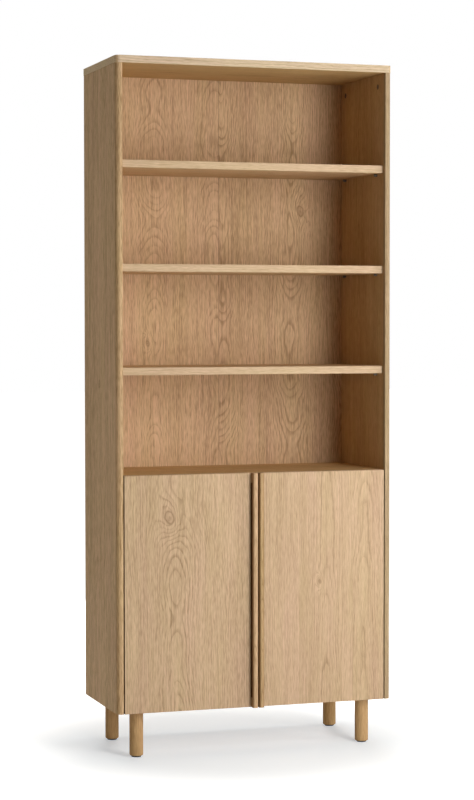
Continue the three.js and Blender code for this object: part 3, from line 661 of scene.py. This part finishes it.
def metal(name, base, roughness, brushed, pitted):
    """Plated metal: fine drawn scratches along Z and slow blotches in its shine."""
    material, tree, place = new_material(name)
    scratch = noise_at(tree, place, (1900, 1900, 90), 2, 0.6)
    blotch = noise_at(tree, place, (160, 160, 160), 3, 0.55)
    share = ramp_linear(tree, blotch, -1.0, 1.0, 0.0, 1.0)
    colour = blend(tree, share, [0.84 * part for part in base], base)
    worn = calc(tree, "ADD", calc(tree, "MULTIPLY", scratch, brushed),
                calc(tree, "MULTIPLY", blotch, pitted))
    spread = 0.16
    rough = ramp_linear(tree, worn, -1.0, 1.0, roughness - spread, roughness + spread)
    shader = finish_surface(tree, colour, rough, worn, 0.18, 0.00005)
    shader.inputs["Metallic"].default_value = 1.0
    return material


# Painted shade: the plate is coloured dark, for the cams that sit in shade under the top.
zinc = metal("zinc_plate", (0.15, 0.135, 0.115), 0.42, 0.5, 0.5)
pin = turned("pin", [(0, -pin_root), (pin_radius, -pin_root),
                     *((pin_radius - inward, pin_reach - back_off) for inward, back_off in pin_nose),
                     (0, pin_reach)], facets=24)
pin_places = []
for shelf_top in shelf_tops:
    pin_z = shelf_top - shelf_thickness - seam - pin_radius
    pin_places += [((side * inner_x, y, pin_z), (0, -90 * side, 0)) for side in (-1, 1) for y in pin_rows]
pins = fittings("shelf_pins", pin, pin_places, zinc)
dress(pins, zinc, "carcass", "zinc_fitting")

# Loose shelves: thicker boards with a solid oak lipping in front, at one even pitch in the open
# part, and one set further back in the cabinet. They lie on their pins.
shelf_pitch = 0.281
shelf_setback = 0.017
cabinet_setback = 0.048
shelf_rear = back_face - 0.002
shelf_x = inner_x - 0.001
shelf_rim = 0.0004


def shelf_board(name, setback, shelf_top):
    """A loose shelf that stands back from the case's front by setback."""
    near = front_y + setback
    shelf_under = shelf_top - shelf_thickness
    return board(name, [(near, shelf_under, *eased), (shelf_rear, shelf_under, *square),
                        (shelf_rear, shelf_top, *square), (near, shelf_top, *eased)],
                 "X", -shelf_x, shelf_x, shelf_rim)


def make_row_tree():
    """Equal copies of a fitting in a straight row: a start, a step and a count."""
    tree, given, close = copies_tree("row_of_fittings", [("Start", "Vector"), ("Step", "Vector"),
                                                         ("Count", "Int")])
    row = tree.nodes.new("GeometryNodeMeshLine")
    row.mode = "OFFSET"
    for label, socket in (("Count", "Count"), ("Start", "Start Location"), ("Step", "Offset")):
        tree.links.new(given[label], row.inputs[socket])
    close(row.outputs["Mesh"])
    return tree


shelf_lipping = (front_y + shelf_setback + thin_lipping, (0.98, 1.065, 1.25))
shelf_oak = oak("oak_shelf", "across, facing up", (3.3, 0.9, 6.1), (0.67, 0.465, 0.265),
                (0.405, 0.255, 0.123), middle=-0.02, leaf=0.18, stray=0.05, depth=-0.95, taper=0.03,
                figure=0.7, arches=0.35, lipping=shelf_lipping)
open_shelves = grow("open_shelves", bpy.data.meshes.new("open_shelves"), make_row_tree(),
                    shelf_board("shelf", shelf_setback, 0.0), shelf_oak,
                    Start=(0, 0, shelf_tops[0]), Step=(0, 0, shelf_pitch), Count=3)
dress(open_shelves, shelf_oak, "carcass", "oak_shelf_veneer", "lower_shelf", "middle_shelf", "upper_shelf")
cabinet_shelf = shelf_board("inner_shelf", cabinet_setback, shelf_tops[3])
dress(cabinet_shelf, shelf_oak, "carcass", "oak_shelf_veneer", "cabinet_shelf")

# Cams of the decks: cast zinc discs with a crossed drive, pressed into the bores from below.
# The cams and bolts under the top are the CAD ones, in the same plated zinc.
cam_height = 0.0122
cam_turn = 15
cam_ease = 0.0004


def cut_crossed_drive(fitting, reach, half_width, low, high, turn):
    """Cuts a crossed recess into a fitting from low to high along its axis."""
    arms = []
    for quarter in (0, 90):
        arm = board("drive_arm", rectangle(-reach, -half_width, reach, half_width), "Z", low, high)
        arm.data.transform(Matrix.Rotation(math.radians(turn + quarter), 4, "Z"))
        arms.append(arm)
    drill(fitting, arms)


def finish_cad_piece(name, material):
    """Gives a CAD piece that stays in the scene its finished material."""
    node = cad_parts[name]
    paint(node, material)


disc = turned("disc", [(0, 0), (cam_radius - cam_ease, 0), (cam_radius, cam_ease),
                       (cam_radius, cam_height), (0, cam_height)], cam_facets)
cut_crossed_drive(disc, reach=0.0045, half_width=0.0007, low=-0.001, high=0.0018, turn=45)
disc_places = [((side * cam_x, y, under + seam), (0, 0, cam_turn * side))
               for under in (foot_z, deck_top - deck_thickness) for side in (-1, 1) for y in cam_rows]
discs = fittings("deck_cams", disc, disc_places, zinc)
dress(discs, zinc, "carcass", "zinc_fitting")
for row in ("front", "rear"):
    for word in ("left", "right"):
        for part in ("cam_lock", "cam_bolt"):
            finish_cad_piece(f"{row}_{word}_{part}", zinc)

# Back screws: ten small zinc-plated steel screws with domed heads and a crossed recess, driven
# through the back from behind into the sides, the top and both decks.
dome = ((0, -0.0019), (0.0014, -0.0018), (0.0026, -0.0014), (0.0033, -0.0009), (0.0036, -0.0003))
shank_radius = 0.0016
shank_length = 0.0056
screw_levels = (0.387, 1.628)
screw = turned("screw", [*dome, (shank_radius, dome[-1][1]), (shank_radius, shank_length),
                         (0, shank_length)], facets=24)
cut_crossed_drive(screw, reach=0.0018, half_width=0.0004, low=-0.003, high=-0.0009, turn=0)
back_rear = back_face + back_thickness
screw_places = [((side * (inner_x + rebate_width / 2), back_rear, z), (90, 20 * side, 0))
                for side in (-1, 1) for z in screw_levels]
screw_places += [((side * inner_x / 2, back_rear, z), (90, 35, 0)) for side in (-1, 1)
                 for z in (foot_z + deck_thickness / 2, deck_top - deck_thickness / 2,
                           top_under + rebate_width / 2)]
screws = fittings("back_screws", screw, screw_places, zinc)
dress(screws, zinc, "carcass", "zinc_fitting")

# Legs: four turned solid oak posts with an eased foot, screwed up into the bottom panel by
# hanger bolts.
leg_radius = 0.019
leg_x = 0.332
leg_rows = (-0.111, 0.144)
leg_places = [(side * leg_x, y, 0.0) for side in (-1, 1) for y in leg_rows]
leg_turn = 37
leg_top = foot_z - seam
leg_foot = 0.0043
leg_ease = 0.0025
foot_facets = 6
foot_curve = []
for k in range(foot_facets + 1):
    t = math.pi / 2 * k / foot_facets
    foot_curve.append((leg_radius - leg_ease + leg_ease * math.sin(t),
                       leg_foot + leg_ease - leg_ease * math.cos(t)))
leg = turned("leg", [(0, leg_foot), *foot_curve, (leg_radius, leg_top), (0, leg_top)], facets=56)
solid_oak = oak("oak_solid", "up, facing front", (7.7, 3.2, 0.4), (0.60, 0.40, 0.205),
                (0.34, 0.205, 0.088), depth=0.09, taper=0.02, ring=0.0035, figure=0.8)
standing = [(place, (0, 0, leg_turn * i)) for i, place in enumerate(leg_places)]
legs = fittings("legs", leg, standing, solid_oak)
dress(legs, solid_oak, "carcass", "solid_oak", "front_left_leg", "front_right_leg", "rear_left_leg",
      "rear_right_leg")

# Glides: dark plastic discs with a dished sole, each moulded round the nail that holds it under
# its leg.
glide_radius = 0.014
glide_height = 0.004
glide_shoulder = 0.0018
glide_sole = ((0, 0.0006), (0.008, 0.0004), (0.0105, 0.0), (0.013, 0.0002), (0.0138, 0.0010))


def plastic(name, base, roughness, grain):
    """Moulded plastic with a fine even skin and small differences in its shine."""
    material, tree, place = new_material(name)
    skin = noise_at(tree, place, (grain, grain, grain), 3, 0.6)
    cloud = noise_at(tree, place, (90, 90, 90), 2)
    mottled = calc(tree, "ADD", calc(tree, "MULTIPLY", skin, 0.4), cloud)
    share = ramp_linear(tree, mottled, -1.4, 1.4, 0.0, 1.0)
    colour = blend(tree, share, [0.8 * part for part in base], base)
    rough = ramp_linear(tree, skin, -1.0, 1.0, roughness - 0.1, roughness + 0.1)
    finish_surface(tree, colour, rough, skin, 0.3, 0.00006)
    return material


glide = turned("glide", [*glide_sole, (glide_radius, glide_shoulder), (glide_radius, glide_height),
                         (0, glide_height)], facets=48)
dark_plastic = plastic("glide_plastic", (0.035, 0.026, 0.02), 0.55, 2600)
glides = fittings("glides", glide, [(place, (0, 0, 0)) for place in leg_places], dark_plastic)
dress(glides, dark_plastic, "carcass", "glide_plastic", "front_left_leg_glide", "front_right_leg_glide",
      "rear_left_leg_glide", "rear_right_leg_glide")

# Doors: veneered boards hung inset between the sides, drilled behind for the hinge cups. The
# left one is cut through a knot, with the figure arching below it.
door_rear = front_y + 0.018
door_outer = inner_x - 0.003
door_top_round = (0.003, 6)
door_rim = 0.0005
grip_inner = 0.0015
grip_outer = grip_inner + 0.015
hinge_inset = 0.095
hinge_levels = (foot_z + hinge_inset, deck_top - hinge_inset)
cup_x = inner_x - 0.0255
cup_radius = 0.0172
cup_bore_depth = 0.0118
cup_facets = 64
door_looks = {
    "left": dict(middle=-0.23, leaf=0.2, stray=0.3, depth=-front_y + 0.004, taper=0.075, sway=0.03,
                 knot=(-0.2505, 0.659, 0.0115), figure=0.9, arches=0.62),
    "right": dict(middle=0.205, leaf=0.16, stray=0.1, depth=-front_y + 0.01, taper=0.04, ring=0.006,
                  knot=(0.1855, 0.4676, 0.0035), figure=0.7, arches=0.4)}
for word, side in (("left", -1), ("right", 1)):
    low_x, high_x = (grip_outer + seam, door_outer) if side > 0 else (-door_outer, -grip_outer - seam)
    door = board(f"{word}_door_board", [(front_y, foot_z, *eased), (door_rear, foot_z, *fine_eased),
                                        (door_rear, deck_top, *fine_eased),
                                        (front_y, deck_top, *door_top_round)],
                 "X", low_x, high_x, door_rim)
    drill(door, [bore(cup_radius, cup_bore_depth, cup_facets, (side * cup_x, door_rear, z), (0, -1, 0))
                 for z in hinge_levels])
    # Painted shade: the doors' edges that look left or right, into the gaps, are tinted dark.
    door_oak = oak(f"oak_{word}_door", "up, facing front", (side * 1.9, 9.1, 3.7), (0.64, 0.468, 0.307),
                   (0.343, 0.23, 0.132), side_painted_shading=(0.3, 0.26, 0.21), **door_looks[word])
    dress(door, door_oak, f"{word}_door", "oak_veneer", f"{word}_door_panel")

# Grip strips: solid oak on the meeting edges, standing proud with a round nose, and a stopped
# groove for the fingertips routed behind the nose.
grip_front = front_y - 0.020
grip_nose = (0.0065, 10)
grip_eased = (0.0005, 2)
grip_rim = 0.0008
groove_depth = 0.006
groove_width = 0.010
groove_stop = 0.028
groove_low = foot_z + groove_stop
groove_high = deck_top - groove_stop
groove_round = (0.98 * groove_depth, 10)
groove_overrun = 0.003
# Painted shade: the right strip is coloured darker than the left, and its sides are tinted from a smaller
# turn, for its nose turned away from the light.
grip_looks = {
    "left": dict(pale=(0.68, 0.48, 0.29), dark=(0.38, 0.25, 0.13), turned_from=0.55),
    "right": dict(pale=(0.58, 0.4, 0.22), dark=(0.32, 0.205, 0.098), turned_from=0.3)}
for word, side in (("left", -1), ("right", 1)):
    # Painted shade: each strip's sides are tinted darker, and its finger groove darker inside, where shade
    # falls.
    grip_oak = oak(f"oak_{word}_grip", "up, facing front", (side * 5.5, 6.6, 1.2), middle=0.02 * side,
                   depth=0.25, taper=0.02, ring=0.003, figure=0.7, side_painted_shading=(0.58, 0.51, 0.43),
                   groove_painted_shade=((grip_outer - groove_depth, front_y - groove_width, groove_low),
                           (grip_outer, front_y, groove_high), (0.26, 0.155, 0.065)), **grip_looks[word])
    outline = [(grip_inner, grip_front, *grip_nose), (grip_outer, grip_front, *grip_nose),
               (grip_outer, door_rear, *grip_eased), (grip_inner, door_rear, *grip_eased)]
    # The router leaves round ends, so the cutter's outline is in height and width.
    mouth = side * (grip_outer + groove_overrun)
    root = side * (grip_outer - groove_depth)
    path = [(groove_low, mouth, *square), (groove_high, mouth, *square),
            (groove_high, root, *groove_round), (groove_low, root, *groove_round)]
    if side < 0:
        outline = mirrored(outline)
        path = path[::-1]
    strip = board(f"{word}_grip", outline, "Z", foot_z, deck_top, grip_rim)
    drill(strip, [board("router", path, "Y", front_y - groove_width, front_y)])
    dress(strip, grip_oak, f"{word}_door", "solid_oak", f"{word}_grip_strip")

# Hinges: cups, links, arms and plates of pressed steel, nickel plated, on zinc-plated pins and
# screwed to the doors and sides, and soft clear bumpers stuck behind the doors. These are the
# CAD pieces, whose shape is the real one.
nickel = metal("nickel_plate", (0.72, 0.72, 0.71), 0.26, 0.35, 0.65)
clear_plastic = plastic("bumper_plastic", (0.78, 0.76, 0.72), 0.3, 1500)
for word in ("left", "right"):
    for height in ("lower", "upper"):
        for part in ("hinge_cup", "hinge_link", "hinge_arm", "hinge_plate"):
            finish_cad_piece(f"{word}_{height}_{part}", nickel)
        for part in ("cup_pin", "arm_pin"):
            finish_cad_piece(f"{word}_{height}_{part}", zinc)
        finish_cad_piece(f"{word}_{height}_door_bumper", clear_plastic)

# Studio: a matt floor that fades into a white surround, tall soft lamps in front and to the
# right, others to the left, behind and overhead, and a little even light from all round.
floor_reach = 30.0
fade_start = 0.35
fade_end = 0.9
floor_matt = (0.8, 0.8, 0.79)
floor_glow = (0.32, 0.365, 0.41)
ambient = (0.15, 0.123, 0.082)
lit_middle_y = -0.1
white = (1, 1, 1)
floor_shell = bmesh.new()
bmesh.ops.create_grid(floor_shell, x_segments=1, y_segments=1, size=floor_reach)
floor = make_object("floor", floor_shell)


def emptied_tree(owner):
    """The node tree of a material or world, with nothing in it."""
    owner.use_nodes = True
    owner.node_tree.nodes.clear()
    return owner.node_tree


def seen_straight(tree):
    """One for the rays that show the studio, nothing for those that light the bookcase."""
    rays = wire(tree, "ShaderNodeLightPath").node.outputs
    return calc(tree, "MAXIMUM", rays["Is Glossy Ray"], rays["Is Transmission Ray"], rays["Is Camera Ray"])


def show(tree, kind, source):
    """Closes a tree with its output node."""
    tree.links.new(source, tree.nodes.new(kind).inputs["Surface"])


floor_paint = bpy.data.materials.new("floor_paint")
tree = emptied_tree(floor_paint)
away = wire(tree, "ShaderNodeVectorMath", wire(tree, "ShaderNodeTexCoord").node.outputs["Object"],
            operation="LENGTH").node.outputs["Value"]
level = blend(tree, ramp(tree, away, fade_start, fade_end, 0.0, 1.0), floor_glow, white)
matt = wire(tree, "ShaderNodeBsdfDiffuse", (*floor_matt, 1))
glow = wire(tree, "ShaderNodeEmission", level, seen_straight(tree))
show(tree, "ShaderNodeOutputMaterial", wire(tree, "ShaderNodeAddShader", matt, glow))
floor.data.materials.append(floor_paint)

world = bpy.data.worlds.new("studio")
bpy.context.scene.world = world
tree = emptied_tree(world)
surround = wire(tree, "ShaderNodeBackground", blend(tree, seen_straight(tree), ambient, white), 1.0)
show(tree, "ShaderNodeOutputWorld", surround)


def softbox(name, angle, distance, height, wide, tall, power, colour=white, aim=None):
    """A soft lamp at an angle round the bookcase, 0 in front and 90 to its right, turned to its
    middle, and level unless aim gives another height."""
    lamp = bpy.data.lights.new(name, "AREA")
    lamp.shape = "RECTANGLE"
    lamp.size = wide
    lamp.size_y = tall
    lamp.energy = power
    lamp.color = colour
    piece = add_object(name, lamp)
    turn = math.radians(angle)
    piece.location = (distance * math.sin(turn), -distance * math.cos(turn), height)
    middle = Vector((0, lit_middle_y, height if aim is None else aim))
    piece.rotation_euler = (middle - piece.location).to_track_quat("-Z", "Y").to_euler()


softbox("tall_front_lamp", angle=20, distance=3.2, height=1.6, wide=1.0, tall=3.2, power=35.5)
softbox("near_front_lamp", angle=20, distance=2.4, height=1.45, wide=0.8, tall=2.4, power=30)
softbox("right_lamp", angle=55, distance=3.0, height=1.05, wide=1.0, tall=1.6, power=21)
softbox("left_lamp", angle=-90, distance=3.2, height=1.4, wide=1.6, tall=1.8, power=7,
        colour=(1.0, 0.92, 0.86))
softbox("rear_lamp", angle=165, distance=3.2, height=1.4, wide=1.4, tall=2.4, power=60)
softbox("top_lamp", angle=180, distance=0.3, height=4.0, wide=1.6, tall=1.2, power=32, aim=1.9)

# Camera: at the photograph's angle, 18 degrees to the left of the middle and at chest height.
# Its place, turn and focal length were fitted to points measured in the photograph.
photo_height = 800
focal_pixels = 2134.9
sensor = 36
pitch = -2.06
roll = 0.04
heading = -18.47
lens = bpy.data.cameras.new("camera")
lens.lens = focal_pixels / photo_height * sensor
lens.sensor_width = sensor
lens.clip_start = 0.05
lens.clip_end = 100
camera = add_object("camera", lens)
camera.location = (-1.9134, -5.7203, 1.1881)
camera.rotation_euler = (math.radians(90 + pitch), math.radians(roll), math.radians(heading))
bpy.context.scene.camera = camera
bpy.context.scene.view_settings.view_transform = "Standard"
